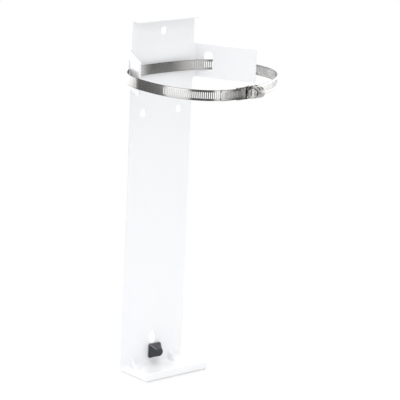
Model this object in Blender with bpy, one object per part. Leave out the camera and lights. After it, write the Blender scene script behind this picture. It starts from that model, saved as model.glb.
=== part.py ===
"""Wall bracket that holds one gas cylinder with a worm-drive strap.

The bracket is one folded steel sheet: a tall back plate, a flange at the top, two splayed
ears with a slot each, and a foot with an upturned lip that carries the cylinder's base.
A perforated steel strap runs through both ears, closed by a clamp with a worm screw, and
a rubber stop low on the plate keeps the cylinder off the wall.

Metres, +Z up. X runs along the wall, -Y points away from it, and the origin lies on the
plate's back face, on its centreline, level with the pair of wall screw holes.
"""
import math

import bmesh
import bpy
from mathutils import Matrix, Vector

# Folded sheet
SHEET = 0.0020
PLATE_WIDTH = 0.0900
PLATE_TOP = 0.1090
FOOT_DROP = 0.3096
FLANGE_DEPTH = 0.0132
FOOT_DEPTH = 0.0516
LIP_HEIGHT = 0.0097
TIGHT_BEND = 0.0015
FOOT_BEND = 0.0060
FLANGE_CORNER = 0.0020
LIP_CORNER = 0.0040

# Ears, measured from the fold line between plate and ear
EAR_NECK = 0.0050
EAR_LENGTH = 0.0745
EAR_SPLAY = math.radians(28.0)
EAR_BOTTOM = 0.0361
EAR_TOP = 0.0751
EAR_CORNER = 0.0015

# Holes in the plate
SCREW_HOLE = 0.0095
SCREW_PAIR_SPACING = 0.0525
TOP_HOLE_BELOW_EDGE = 0.0152
LOW_SLOT_WIDTH = 0.0120
LOW_SLOT_LENGTH = 0.0155
LOW_SLOT_ABOVE_FOOT = 0.0278

# Pressed ribs across the foot bend
RIB_SPACING = 0.0570
RIB_REACH = 0.0115
RIB_HALF_WIDTH = 0.0036

# Strap
STRAP_HEIGHT = 0.0120
STRAP_THICKNESS = 0.0007
STRAP_LEVEL = 0.0454
STRAP_PLATE_GAP = 0.0033
STRAP_BACK_DEPTH = 0.0741
STRAP_FRONT_DEPTH = 0.0820
STRAP_FRONT_LEFT_OF_CENTRE = 0.0280
STRAP_BACK_FULLNESS = 2.65
STRAP_FRONT_LEFT_FULLNESS = 2.25
STRAP_FRONT_RIGHT_FULLNESS = 1.92
STRAP_SLOT_DROP = 0.0010
STRAP_END_INSIDE = 0.0030
TAIL_LENGTH = 0.0466
TAIL_LIFT = 0.0012
TAIL_LIFT_LENGTH = 0.0140

# Slots punched along the strap for the worm
PUNCH_PITCH = 0.00224
PUNCH_WIDTH = 0.00115
PUNCH_HEIGHT = 0.0070
PUNCH_FREE_END = 0.0030
PLAIN_START = 0.1130
PLAIN_END = 0.3130

# Slots in the ears that the strap runs through
EAR_SLOT_WIDTH = 0.0114
EAR_SLOT_HEIGHT = 0.0222
EAR_SLOT_CORNER = 0.0035

# Clamp
CLAMP_X = -0.0004
SADDLE_WALL = 0.0008
SADDLE_RIGHT = 0.0120
SADDLE_LEFT = 0.0256
HOUSING_LENGTH = 0.0105
HOUSING_WALL = 0.0010
WORM_RADIUS = 0.0050
WORM_CHAMFER = 0.0008
NECK_RADIUS = 0.0030
HEAD_FLATS = 0.0092
HEAD_LENGTH = 0.0050
HEAD_COLLAR = 0.0014
HEAD_CHAMFER = 0.0006
HEAD_SLOT_WIDTH = 0.0012
HEAD_SLOT_DEPTH = 0.0022

# Rubber stop
STOP_SIDE = 0.0163
STOP_NOSE_DIAMETER = 0.0104
STOP_SQUARE_DEPTH = 0.0030
STOP_TAPER_DEPTH = 0.0075
STOP_DOME_DEPTH = 0.0018
STOP_NOSE_FLAT_SHARE = 0.55
STOP_BASE_SQUARENESS = 14.0
STOP_RIGHT_OF_CENTRE = 0.0030
STOP_BELOW_SLOT = 0.0010

# Clearance between pieces that touch on the real bracket
SEAT_GAP = 0.0003

HOLE_SEGMENTS = 28
CORNER_SEGMENTS = 5
BEND_SEGMENTS = 6
ROUND_SEGMENTS = 36


def clear_scene():
    for item in list(bpy.data.objects):
        bpy.data.objects.remove(item, do_unlink=True)


def make_material(name, color, roughness, metallic):
    material = bpy.data.materials.new(name)
    material.use_nodes = True
    shader = material.node_tree.nodes["Principled BSDF"]
    shader.inputs["Base Color"].default_value = (*color, 1.0)
    shader.inputs["Roughness"].default_value = roughness
    shader.inputs["Metallic"].default_value = metallic
    return material


def object_from(bm, name, material, smooth_angle=math.radians(35.0)):
    bmesh.ops.recalc_face_normals(bm, faces=bm.faces)
    mesh = bpy.data.meshes.new(name)
    bm.to_mesh(mesh)
    bm.free()
    mesh.materials.append(material)
    mesh.shade_smooth()
    mesh.set_sharp_from_angle(angle=smooth_angle)
    item = bpy.data.objects.new(name, mesh)
    bpy.context.collection.objects.link(item)
    return item


def arc(centre, radius, start, end, segments):
    """Points on an arc, both ends included; angles in radians."""
    points = []
    for step in range(segments + 1):
        angle = start + (end - start) * step / segments
        points.append((centre[0] + radius * math.cos(angle), centre[1] + radius * math.sin(angle)))
    return points


def circle(centre, diameter):
    return arc(centre, diameter / 2, 0.0, math.tau, HOLE_SEGMENTS)[:-1]


def rounded_slot(centre, width, height, corner):
    """Closed outline of an upright slot whose corners have the given radius."""
    across = width / 2 - corner
    up = height / 2 - corner
    points = []
    for quarter, (sx, sy) in enumerate(((1, 1), (-1, 1), (-1, -1), (1, -1))):
        middle = (centre[0] + sx * across, centre[1] + sy * up)
        start = quarter * math.pi / 2
        points += arc(middle, corner, start, start + math.pi / 2, HOLE_SEGMENTS // 4)
    return without_doubles(points)


def without_doubles(points, limit=1e-7):
    kept = []
    for point in points:
        if not kept or math.dist(point, kept[-1]) > limit:
            kept.append(point)
    if math.dist(kept[0], kept[-1]) <= limit:
        kept.pop()
    return kept


# The strap's loop, seen from above

def ear_point(along, outward=0.0):
    """A point of the right ear: distance from the fold line, and out from the inner face."""
    root = Vector((PLATE_WIDTH / 2 + EAR_NECK, -SHEET))
    direction = Vector((math.sin(EAR_SPLAY), -math.cos(EAR_SPLAY)))
    normal = Vector((math.cos(EAR_SPLAY), math.sin(EAR_SPLAY)))
    return root + along * direction + outward * normal


def loop_centre_y():
    return -(SHEET + STRAP_PLATE_GAP + STRAP_THICKNESS / 2 + STRAP_BACK_DEPTH)


def loop_half_width():
    """Half the loop's width, so that the strap just passes the outer corner of an ear's tip."""
    corner = ear_point(EAR_LENGTH, SHEET)
    reach = corner.x + SEAT_GAP + STRAP_THICKNESS / 2
    share = abs(corner.y - loop_centre_y()) / STRAP_BACK_DEPTH
    return reach / (1 - share ** STRAP_BACK_FULLNESS) ** (1 / STRAP_BACK_FULLNESS)


def loop_place(angle):
    """Middle of the strap: 0 is the right side, a quarter turn is the back, towards the wall."""
    cosine = math.cos(angle)
    sine = math.sin(angle)
    if sine > 0:
        depth = STRAP_BACK_DEPTH
        fullness = STRAP_BACK_FULLNESS
        middle = 0.0
    else:
        depth = STRAP_FRONT_DEPTH
        fullness = STRAP_FRONT_RIGHT_FULLNESS if cosine > 0 else STRAP_FRONT_LEFT_FULLNESS
        middle = -STRAP_FRONT_LEFT_OF_CENTRE
    width = loop_half_width() - middle if cosine > 0 else loop_half_width() + middle
    x = middle + width * math.copysign(abs(cosine) ** (2 / fullness), cosine)
    y = loop_centre_y() + depth * math.copysign(abs(sine) ** (2 / fullness), sine)
    return Vector((x, y))


class Loop:
    """The loop measured along its length, clockwise from above, starting at the clamp."""

    SAMPLES = 2880

    def __init__(self):
        start = self.clamp_angle()
        self.points = [loop_place(start - math.tau * k / self.SAMPLES) for k in range(self.SAMPLES)]
        self.marks = [0.0]
        for k in range(self.SAMPLES):
            following = self.points[(k + 1) % self.SAMPLES]
            self.marks.append(self.marks[-1] + (following - self.points[k]).length)
        self.length = self.marks[-1]

    @staticmethod
    def clamp_angle():
        """Angle on the front of the loop at which the middle of the clamp lies."""
        low = -math.pi / 2
        high = 0.0
        for _ in range(60):
            middle = (low + high) / 2
            if loop_place(middle).x < CLAMP_X:
                low = middle
            else:
                high = middle
        return low

    def spot(self, distance):
        """Place and outward normal at a distance along the loop."""
        distance %= self.length
        low = 0
        high = self.SAMPLES
        while high - low > 1:
            middle = (low + high) // 2
            if self.marks[middle] <= distance:
                low = middle
            else:
                high = middle
        share = (distance - self.marks[low]) / (self.marks[low + 1] - self.marks[low])
        place = self.points[low].lerp(self.points[(low + 1) % self.SAMPLES], share)
        ahead = self.points[(low + 2) % self.SAMPLES] - self.points[low - 1]
        ahead.normalize()
        return place, Vector((-ahead.y, ahead.x))


def ear_slot_middle():
    """Distance from the fold line to the middle of the ear's slot.

    The strap crosses the ear at a slant and bears on the slot's outer edge, so the slot
    follows the place and the slant of that crossing.
    """
    low = 0.0
    high = math.pi / 2
    middle_face = ear_point(0.0, SHEET / 2)
    normal = Vector((math.cos(EAR_SPLAY), math.sin(EAR_SPLAY)))
    for _ in range(60):
        middle = (low + high) / 2
        if (loop_place(middle) - middle_face).dot(normal) > 0:
            low = middle
        else:
            high = middle
    crossing = loop_place(low)
    ahead = loop_place(low - 0.01) - loop_place(low + 0.01)
    slant = math.asin(abs(ahead.normalized().dot(normal)))
    along = (crossing - middle_face).length
    footprint = SHEET / 2 / math.tan(slant) + STRAP_THICKNESS / 2 / math.sin(slant)
    dip = EAR_SLOT_CORNER - STRAP_SLOT_DROP
    reach = EAR_SLOT_WIDTH / 2 - EAR_SLOT_CORNER + math.sqrt(EAR_SLOT_CORNER ** 2 - dip ** 2)
    return along + footprint + SEAT_GAP - reach


# The folded sheet, drawn as a flat blank and then folded along its bends

def tangent_length(radius, angle):
    return radius * math.tan(angle / 2)


EAR_TURN = math.pi / 2 - EAR_SPLAY
EAR_BEND_START = PLATE_WIDTH / 2 + EAR_NECK - tangent_length(TIGHT_BEND, EAR_TURN)
EAR_FOLD = ((TIGHT_BEND * EAR_TURN, EAR_TURN),)
FLANGE_BEND_START = PLATE_TOP - SHEET - TIGHT_BEND
FLANGE_FOLD = ((TIGHT_BEND * math.pi / 2, math.pi / 2),)
FLANGE_FLAT = FLANGE_DEPTH - SHEET - TIGHT_BEND
FOOT_BEND_START = -FOOT_DROP + SHEET + FOOT_BEND
FOOT_FLAT = FOOT_DEPTH - 2 * SHEET - TIGHT_BEND - FOOT_BEND
LIP_FLAT = LIP_HEIGHT - SHEET - TIGHT_BEND
FOOT_FOLD = (
    (FOOT_BEND * math.pi / 2, math.pi / 2),
    (FOOT_FLAT, 0.0),
    (TIGHT_BEND * math.pi / 2, math.pi / 2),
)


def fold_length(fold):
    return sum(length for length, _ in fold)


def follow(fold, distance):
    """Follow the inner face through bends and flats: the place reached and the heading."""
    place = Vector((0.0, 0.0))
    heading = 0.0
    for length, angle in fold:
        run = min(distance, length)
        if angle:
            radius = length / angle
            turned = heading + run / radius
            place += radius * Vector((math.sin(turned) - math.sin(heading),
                                      math.cos(heading) - math.cos(turned)))
            heading = turned
        else:
            place += run * Vector((math.cos(heading), math.sin(heading)))
        distance -= run
        if distance <= 0:
            return place, heading
    return place + distance * Vector((math.cos(heading), math.sin(heading))), heading


def ear_edge(along):
    """Blank coordinate of a point on the ear at a distance from the fold line."""
    turned = TIGHT_BEND * EAR_TURN - tangent_length(TIGHT_BEND, EAR_TURN)
    return EAR_BEND_START + turned + along


def right_outline():
    """Right half of the blank's outline, from the lip's end up to the flange's end."""
    half = PLATE_WIDTH / 2
    lip_end = FOOT_BEND_START - fold_length(FOOT_FOLD) - LIP_FLAT
    flange_end = FLANGE_BEND_START + fold_length(FLANGE_FOLD) + FLANGE_FLAT
    fillet = EAR_BEND_START - half
    tip = ear_edge(EAR_LENGTH)
    quarter = math.pi / 2
    points = arc((half - LIP_CORNER, lip_end + LIP_CORNER), LIP_CORNER, -quarter, 0, CORNER_SEGMENTS)
    points += arc((half + fillet, EAR_BOTTOM - fillet), fillet, 2 * quarter, quarter, CORNER_SEGMENTS)
    points += arc((tip - EAR_CORNER, EAR_BOTTOM + EAR_CORNER), EAR_CORNER, -quarter, 0, CORNER_SEGMENTS)
    points += arc((tip - EAR_CORNER, EAR_TOP - EAR_CORNER), EAR_CORNER, 0, quarter, CORNER_SEGMENTS)
    points += arc((half + fillet, EAR_TOP + fillet), fillet, -quarter, -2 * quarter, CORNER_SEGMENTS)
    points += arc((half - FLANGE_CORNER, flange_end - FLANGE_CORNER), FLANGE_CORNER, 0, quarter,
                  CORNER_SEGMENTS)
    return points


def low_slot_middle():
    return -FOOT_DROP + LOW_SLOT_ABOVE_FOOT + LOW_SLOT_LENGTH / 2


def blank_loops():
    """The blank's outer edge and its holes."""
    right = right_outline()
    left = [(-x, y) for x, y in reversed(right)]
    loops = [without_doubles(right + left)]
    loops.append(circle((0.0, PLATE_TOP - TOP_HOLE_BELOW_EDGE), SCREW_HOLE))
    loops.append(rounded_slot((0.0, low_slot_middle()), LOW_SLOT_WIDTH, LOW_SLOT_LENGTH,
                              LOW_SLOT_WIDTH / 2))
    slot_height = STRAP_LEVEL - STRAP_SLOT_DROP + EAR_SLOT_HEIGHT / 2
    for side in (-1, 1):
        loops.append(circle((side * SCREW_PAIR_SPACING / 2, 0.0), SCREW_HOLE))
        loops.append(rounded_slot((side * ear_edge(ear_slot_middle()), slot_height), EAR_SLOT_WIDTH,
                                  EAR_SLOT_HEIGHT, EAR_SLOT_CORNER))
    return loops


def cut(bm, across, value, low=-math.inf, high=math.inf):
    """Cut the blank's faces along one line; only faces between low and high are cut."""
    axis = 0 if across else 1
    faces = [f for f in bm.faces if low < f.calc_center_median().y < high]
    edges = {e for f in faces for e in f.edges}
    verts = {v for f in faces for v in f.verts}
    place = Vector((0.0, 0.0, 0.0))
    place[axis] = value
    normal = Vector((0.0, 0.0, 0.0))
    normal[axis] = 1.0
    bmesh.ops.bisect_plane(bm, geom=faces + list(edges) + list(verts), dist=1e-7,
                           plane_co=place, plane_no=normal)


def cut_bends(bm):
    """Lines along every bend, close enough together to make it round."""
    for step in range(BEND_SEGMENTS + 1):
        share = step / BEND_SEGMENTS
        for side in (-1, 1):
            cut(bm, True, side * (EAR_BEND_START + share * EAR_FOLD[0][0]))
        cut(bm, False, FLANGE_BEND_START + share * FLANGE_FOLD[0][0])
        cut(bm, False, FOOT_BEND_START - share * FOOT_FOLD[0][0])
        cut(bm, False, FOOT_BEND_START - FOOT_FOLD[0][0] - FOOT_FLAT - share * FOOT_FOLD[2][0])


def cut_ribs(bm):
    """A finer net of lines where the two ribs are pressed in."""
    top = -FOOT_DROP + SHEET + RIB_REACH
    bottom = FOOT_BEND_START - FOOT_FOLD[0][0] - (RIB_REACH - FOOT_BEND)
    rows = 4
    for step in range(rows + 1):
        share = step / rows
        cut(bm, False, FOOT_BEND_START + share * (top - FOOT_BEND_START))
        cut(bm, False, bottom + share * (FOOT_BEND_START - FOOT_FOLD[0][0] - bottom))
    lines = 4
    for side in (-1, 1):
        for step in range(-lines, lines + 1):
            cut(bm, True, side * RIB_SPACING / 2 + RIB_HALF_WIDTH * step / lines, bottom, top)


def rib_push(across, forward, up):
    """How far a rib moves a point of the foot bend, forwards and up alike."""
    offset = abs(abs(across) - RIB_SPACING / 2) / RIB_HALF_WIDTH
    if offset >= 1:
        return 0.0
    short = RIB_REACH - forward - up
    return max(short, 0.0) / 2 * (1 - offset ** 2) ** 2


def folded(across, up):
    """Inner face and outward normal of the folded sheet, for a point of the blank."""
    side = math.copysign(1.0, across)
    if abs(across) > EAR_BEND_START:
        place, heading = follow(EAR_FOLD, abs(across) - EAR_BEND_START)
        inner = Vector((side * (EAR_BEND_START + place.x), -SHEET - place.y, up))
        return inner, Vector((side * math.sin(heading), math.cos(heading), 0.0))
    if up > FLANGE_BEND_START:
        place, heading = follow(FLANGE_FOLD, up - FLANGE_BEND_START)
        inner = Vector((across, -SHEET - place.y, FLANGE_BEND_START + place.x))
        return inner, Vector((0.0, math.cos(heading), math.sin(heading)))
    if up < -FOOT_DROP + SHEET + RIB_REACH:
        place, heading = follow(FOOT_FOLD, max(FOOT_BEND_START - up, 0.0))
        height = max(up, FOOT_BEND_START) - place.x
        push = rib_push(across, place.y, height + FOOT_DROP - SHEET)
        inner = Vector((across, -SHEET - place.y - push, height + push))
        return inner, Vector((0.0, math.cos(heading), -math.sin(heading)))
    return Vector((across, -SHEET, up)), Vector((0.0, 1.0, 0.0))


def make_bracket(material):
    blank = bmesh.new()
    for loop in blank_loops():
        corners = [blank.verts.new((x, y, 0.0)) for x, y in loop]
        for k, corner in enumerate(corners):
            blank.edges.new((corner, corners[(k + 1) % len(corners)]))
    bmesh.ops.triangle_fill(blank, edges=blank.edges[:], use_beauty=True, normal=(0.0, 0.0, 1.0))
    cut_bends(blank)
    cut_ribs(blank)
    blank.verts.index_update()
    solid = bmesh.new()
    inner = []
    outer = []
    for corner in blank.verts:
        place, normal = folded(corner.co.x, corner.co.y)
        inner.append(solid.verts.new(place))
        outer.append(solid.verts.new(place + SHEET * normal))
    for face in blank.faces:
        ring = [v.index for v in face.verts]
        solid.faces.new([inner[k] for k in ring])
        solid.faces.new([outer[k] for k in reversed(ring)])
    for edge in blank.edges:
        if len(edge.link_faces) == 1:
            a, b = (v.index for v in edge.verts)
            solid.faces.new((inner[a], inner[b], outer[b], outer[a]))
    blank.free()
    bmesh.ops.triangulate(solid, faces=solid.faces[:])
    return object_from(solid, "bracket", material)


# Strap and clamp

def swept_solid(sections, name, material):
    """Closed solid through a row of closed sections with equally many points."""
    bm = bmesh.new()
    rings = [[bm.verts.new(point) for point in section] for section in sections]
    count = len(rings[0])
    for near, far in zip(rings, rings[1:]):
        for k in range(count):
            following = (k + 1) % count
            bm.faces.new((near[k], near[following], far[following], far[k]))
    bm.faces.new(rings[0])
    bm.faces.new(rings[-1])
    bm.normal_update()
    bmesh.ops.triangulate(bm, faces=bm.faces[:])
    return object_from(bm, name, material)


def strap_middle_level():
    return STRAP_LEVEL + STRAP_HEIGHT / 2


def layer_step():
    """Distance between the middles of the strap's two layers where they overlap."""
    return STRAP_THICKNESS + SEAT_GAP


def smooth(value):
    value = min(max(value, 0.0), 1.0)
    return value * value * (3 - 2 * value)


def strap_offset(loop, distance):
    """How far the strap lies outside the loop's line."""
    ramp = 2 * SADDLE_RIGHT
    ramp_end = loop.length - SADDLE_RIGHT
    lifted = (distance - loop.length - TAIL_LENGTH + TAIL_LIFT_LENGTH) / TAIL_LIFT_LENGTH
    return (layer_step() * smooth((distance - ramp_end + ramp) / ramp)
            + TAIL_LIFT * max(lifted, 0.0) ** 2)


def strap_borders(loop):
    """Distances along the loop that part the strap into facets as long as the slots' pitch."""
    pitch = loop.length / round(loop.length / PUNCH_PITCH)
    start = STRAP_END_INSIDE - SADDLE_RIGHT
    end = loop.length + TAIL_LENGTH
    first = math.ceil((start + PUNCH_FREE_END) / pitch)
    last = math.floor((end - PUNCH_FREE_END) / pitch)
    return [start] + [k * pitch for k in range(first, last + 1)] + [end]


def strap_corners(bm, loop, distance):
    """Low and high corner of the strap's inner face and of its outer face."""
    place, normal = loop.spot(distance)
    offset = strap_offset(loop, distance)
    corners = []
    for out in (offset - STRAP_THICKNESS / 2, offset + STRAP_THICKNESS / 2):
        x, y = place + out * normal
        low = bm.verts.new((x, y, STRAP_LEVEL))
        high = bm.verts.new((x, y, STRAP_LEVEL + STRAP_HEIGHT))
        corners.append((low, high))
    return corners


def punched_facet(bm, near, far):
    """One face of a facet, as four faces round its slot; returns the slot's corners."""
    share_along = (1 - PUNCH_WIDTH / (far[0].co - near[0].co).length) / 2
    share_up = (1 - PUNCH_HEIGHT / STRAP_HEIGHT) / 2
    rim = (near[0], far[0], far[1], near[1])
    slot = []
    for along, up in ((share_along, share_up), (1 - share_along, share_up),
                      (1 - share_along, 1 - share_up), (share_along, 1 - share_up)):
        low = near[0].co.lerp(far[0].co, along)
        high = near[1].co.lerp(far[1].co, along)
        slot.append(bm.verts.new(low.lerp(high, up)))
    for k in range(4):
        following = (k + 1) % 4
        bm.faces.new((rim[k], rim[following], slot[following], slot[k]))
    return slot


def make_strap(loop, material):
    """The band, with one slot in each facet but for its ends and a plain stretch on its left."""
    bm = bmesh.new()
    borders = strap_borders(loop)
    rows = [strap_corners(bm, loop, distance) for distance in borders]
    for k, (near, far) in enumerate(zip(rows, rows[1:])):
        for level in (0, 1):
            bm.faces.new((near[0][level], near[1][level], far[1][level], far[0][level]))
        if k in (0, len(rows) - 2) or PLAIN_START < borders[k] < PLAIN_END:
            for side in (0, 1):
                bm.faces.new((near[side][0], far[side][0], far[side][1], near[side][1]))
            continue
        inner = punched_facet(bm, near[0], far[0])
        outer = punched_facet(bm, near[1], far[1])
        for corner in range(4):
            following = (corner + 1) % 4
            bm.faces.new((inner[corner], inner[following], outer[following], outer[corner]))
    for row in (rows[0], rows[-1]):
        bm.faces.new((row[0][0], row[0][1], row[1][1], row[1][0]))
    bm.normal_update()
    bmesh.ops.triangulate(bm, faces=bm.faces[:])
    return object_from(bm, "strap", material)


def saddle_profile():
    """Section of the saddle: a channel open to the front that both strap layers lie in."""
    floor = -(STRAP_THICKNESS / 2 + SEAT_GAP)
    rim = layer_step() + STRAP_THICKNESS / 2 + SEAT_GAP
    inside = STRAP_HEIGHT / 2 + SEAT_GAP
    outside = inside + SADDLE_WALL
    back = floor - SADDLE_WALL
    bevel = SADDLE_WALL / 2
    return ((back, -outside + bevel), (back + bevel, -outside), (rim, -outside), (rim, -inside),
            (floor, -inside), (floor, inside), (rim, inside), (rim, outside),
            (back + bevel, outside), (back, outside - bevel))


def make_saddle(loop, material):
    steps = 12
    sections = []
    for k in range(steps + 1):
        distance = -SADDLE_RIGHT + (SADDLE_RIGHT + SADDLE_LEFT) * k / steps
        place, normal = loop.spot(distance)
        level = strap_middle_level()
        section = [(*(place + out * normal), level + up) for out, up in saddle_profile()]
        sections.append(section)
    return swept_solid(sections, "clamp_saddle", material)


def clamp_frame(loop):
    """Matrix of the clamp: X along the screw towards the right, Y up, Z outwards."""
    place, normal = loop.spot(0.0)
    outward = Vector((normal.x, normal.y, 0.0))
    up = Vector((0.0, 0.0, 1.0))
    along = up.cross(outward)
    frame = Matrix((along, up, outward)).transposed().to_4x4()
    frame.translation = Vector((place.x, place.y, strap_middle_level()))
    return frame


def head_corner_radius():
    return HEAD_FLATS / math.sqrt(3)


def screw_height():
    """Height of the screw's axis over the loop's line, so that its head clears the tail."""
    widest = max(head_corner_radius(), WORM_RADIUS)
    return layer_step() + STRAP_THICKNESS / 2 + SEAT_GAP + widest


def housing_section(inner_radius):
    """Outline of the housing across the screw: an arch on two flanges, with its inside edge."""
    base = layer_step() + STRAP_THICKNESS / 2 + 2 * SEAT_GAP
    axis = screw_height()
    outer = WORM_RADIUS + SEAT_GAP + HOUSING_WALL
    wide = STRAP_HEIGHT / 2 + SEAT_GAP + SADDLE_WALL
    arch = arc((0.0, axis), outer, 0.0, math.pi, ROUND_SEGMENTS // 2)
    points = [(wide, base), (wide, base + HOUSING_WALL), (outer, base + HOUSING_WALL)]
    points += arch
    points += [(-outer, base + HOUSING_WALL), (-wide, base + HOUSING_WALL), (-wide, base)]
    points.append((-inner_radius, base))
    points += arc((0.0, axis), inner_radius, math.pi, 0.0, ROUND_SEGMENTS // 2)
    points.append((inner_radius, base))
    return points


def make_housing(frame, material):
    """Arch over the worm, with a closed far end and a collar round the screw's neck."""
    half = HOUSING_LENGTH / 2
    body = housing_section(WORM_RADIUS + SEAT_GAP)
    collar = housing_section(NECK_RADIUS + SEAT_GAP)
    inner_end = half - HOUSING_WALL
    stations = ((-half, collar), (-inner_end, collar), (-inner_end, body), (half, body))
    sections = []
    for along, outline in stations:
        sections.append([frame @ Vector((along, up, out)) for up, out in outline])
    return swept_solid(sections, "clamp_housing", material)


def turned_solid(stations, frame, axis_height, name, material):
    """Solid turned about the screw's axis; a station is a distance, a size and its shape."""
    sections = []
    for along, size, hexagonal in stations:
        ring = []
        for k in range(ROUND_SEGMENTS):
            angle = math.tau * k / ROUND_SEGMENTS
            sector = angle % (math.pi / 3) - math.pi / 6
            radius = size / math.cos(sector) if hexagonal else size
            ring.append(Vector((along, radius * math.cos(angle),
                                axis_height + radius * math.sin(angle))))
        sections.append([frame @ point for point in ring])
    return swept_solid(sections, name, material)


def make_screw(frame, material):
    """Worm, neck, collar and hexagon head on one axis."""
    half = HOUSING_LENGTH / 2
    shoulder = -half + HOUSING_WALL + SEAT_GAP
    collar_start = -half - SEAT_GAP
    collar_end = collar_start - HEAD_COLLAR
    head_end = collar_end - HEAD_LENGTH
    flat = HEAD_FLATS / 2
    stations = (
        (half, WORM_RADIUS - WORM_CHAMFER, False), (half - WORM_CHAMFER, WORM_RADIUS, False),
        (shoulder, WORM_RADIUS, False), (shoulder, NECK_RADIUS, False),
        (collar_start, NECK_RADIUS, False), (collar_start, head_corner_radius(), False),
        (collar_end, head_corner_radius(), False), (collar_end, flat, True),
        (head_end + HEAD_CHAMFER, flat, True), (head_end, flat - HEAD_CHAMFER, False),
    )
    screw = turned_solid(stations, frame, screw_height(), "worm_screw", material)
    slot = make_slot_cutter(frame, head_end)
    boolean = screw.modifiers.new("driver slot", "BOOLEAN")
    boolean.operation = "DIFFERENCE"
    boolean.solver = "EXACT"
    boolean.object = slot
    centre = frame @ Vector((0.0, 0.0, screw_height()))
    screw.data.transform(Matrix.Translation(-centre))
    screw.location = centre
    return screw


def make_slot_cutter(frame, head_end):
    """Box that cuts the driver slot across the head; it isn't part of the bracket."""
    bm = bmesh.new()
    bmesh.ops.create_cube(bm, size=1.0)
    size = Matrix.Diagonal((2 * HEAD_SLOT_DEPTH, 2 * HEAD_FLATS, HEAD_SLOT_WIDTH, 1.0))
    move = Matrix.Translation((head_end, 0.0, screw_height()))
    bmesh.ops.transform(bm, matrix=frame @ move @ size, verts=bm.verts)
    mesh = bpy.data.meshes.new("driver_slot_cutter")
    bm.to_mesh(mesh)
    bm.free()
    cutter = bpy.data.objects.new("driver_slot_cutter", mesh)
    cutter.hide_render = True
    cutter.display_type = "WIRE"
    bpy.context.collection.objects.link(cutter)
    return cutter


# Rubber stop

def stop_ring(half_size, squareness, projection, middle):
    """One section of the stop: a superellipse, from nearly square to round."""
    points = []
    for k in range(ROUND_SEGMENTS):
        angle = math.tau * k / ROUND_SEGMENTS
        cosine = math.cos(angle)
        sine = math.sin(angle)
        scale = (abs(cosine) ** squareness + abs(sine) ** squareness) ** (-1 / squareness)
        points.append(Vector((middle[0] + half_size * scale * cosine, -projection,
                              middle[1] + half_size * scale * sine)))
    return points


def make_stop(material):
    seat = SHEET + SEAT_GAP
    base = STOP_SIDE / 2
    nose = STOP_NOSE_DIAMETER / 2
    slot_bottom = low_slot_middle() - LOW_SLOT_LENGTH / 2
    middle = (STOP_RIGHT_OF_CENTRE, slot_bottom - STOP_BELOW_SLOT - base)
    square_end = seat + STOP_SQUARE_DEPTH
    taper_end = square_end + STOP_TAPER_DEPTH
    sections = [stop_ring(base, STOP_BASE_SQUARENESS, out, middle) for out in (seat, square_end)]
    tapers = 6
    for step in range(1, tapers + 1):
        share = step / tapers
        size = base + (nose - base) * share
        squareness = STOP_BASE_SQUARENESS * (2.0 / STOP_BASE_SQUARENESS) ** smooth(share)
        out = square_end + STOP_TAPER_DEPTH * share
        sections.append(stop_ring(size, squareness, out, middle))
    rounds = 4
    for step in range(1, rounds + 1):
        turn = math.pi / 2 * step / (rounds + 1)
        size = nose * (STOP_NOSE_FLAT_SHARE + (1 - STOP_NOSE_FLAT_SHARE) * math.cos(turn))
        out = taper_end + STOP_DOME_DEPTH * math.sin(turn)
        sections.append(stop_ring(size, 2.0, out, middle))
    return swept_solid(sections, "rubber_stop", material)


def main():
    clear_scene()
    white = make_material("white_powder_coat", (0.88, 0.885, 0.89), 0.35, 0.0)
    steel = make_material("stainless_strap", (0.62, 0.61, 0.60), 0.22, 1.0)
    plated = make_material("plated_clamp", (0.66, 0.65, 0.62), 0.30, 1.0)
    screw = make_material("plated_screw", (0.55, 0.54, 0.52), 0.28, 1.0)
    rubber = make_material("black_rubber", (0.035, 0.038, 0.042), 0.65, 0.0)
    loop = Loop()
    frame = clamp_frame(loop)
    make_bracket(white)
    make_strap(loop, steel)
    make_saddle(loop, plated)
    make_housing(frame, plated)
    make_screw(frame, screw)
    make_stop(rubber)


main()
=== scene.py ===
# %% [markdown]
# A wall bracket for one gas cylinder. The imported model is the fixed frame: a folded white sheet,
# a perforated strap through its two ears, a worm-drive clamp and a rubber stop. This script only
# dresses it. Sizes are metres, X runs along the wall, -Y points away from it and Z is up.

# %% Load the frame
import math

import bmesh
import bpy
from mathutils import Matrix, Vector


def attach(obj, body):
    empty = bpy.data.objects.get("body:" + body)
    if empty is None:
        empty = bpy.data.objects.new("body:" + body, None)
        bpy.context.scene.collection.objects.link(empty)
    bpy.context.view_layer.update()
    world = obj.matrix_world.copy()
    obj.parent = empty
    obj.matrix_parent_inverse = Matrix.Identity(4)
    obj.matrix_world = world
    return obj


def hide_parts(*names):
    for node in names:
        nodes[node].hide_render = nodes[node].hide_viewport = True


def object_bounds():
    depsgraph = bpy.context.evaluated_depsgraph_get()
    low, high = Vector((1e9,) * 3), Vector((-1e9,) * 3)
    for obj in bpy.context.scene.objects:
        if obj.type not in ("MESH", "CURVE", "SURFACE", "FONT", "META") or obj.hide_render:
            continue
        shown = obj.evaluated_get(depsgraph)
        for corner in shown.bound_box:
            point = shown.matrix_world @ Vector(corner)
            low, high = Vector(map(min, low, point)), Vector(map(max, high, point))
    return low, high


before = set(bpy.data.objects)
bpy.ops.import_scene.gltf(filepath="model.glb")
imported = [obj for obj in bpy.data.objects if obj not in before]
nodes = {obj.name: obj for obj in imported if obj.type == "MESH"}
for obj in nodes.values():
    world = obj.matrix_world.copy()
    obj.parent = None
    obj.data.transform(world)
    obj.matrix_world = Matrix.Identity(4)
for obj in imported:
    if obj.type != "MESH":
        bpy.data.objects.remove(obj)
cad_low, cad_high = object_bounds()
print("bracket measures", [round(1000 * size, 1) for size in cad_high - cad_low], "mm")

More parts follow.
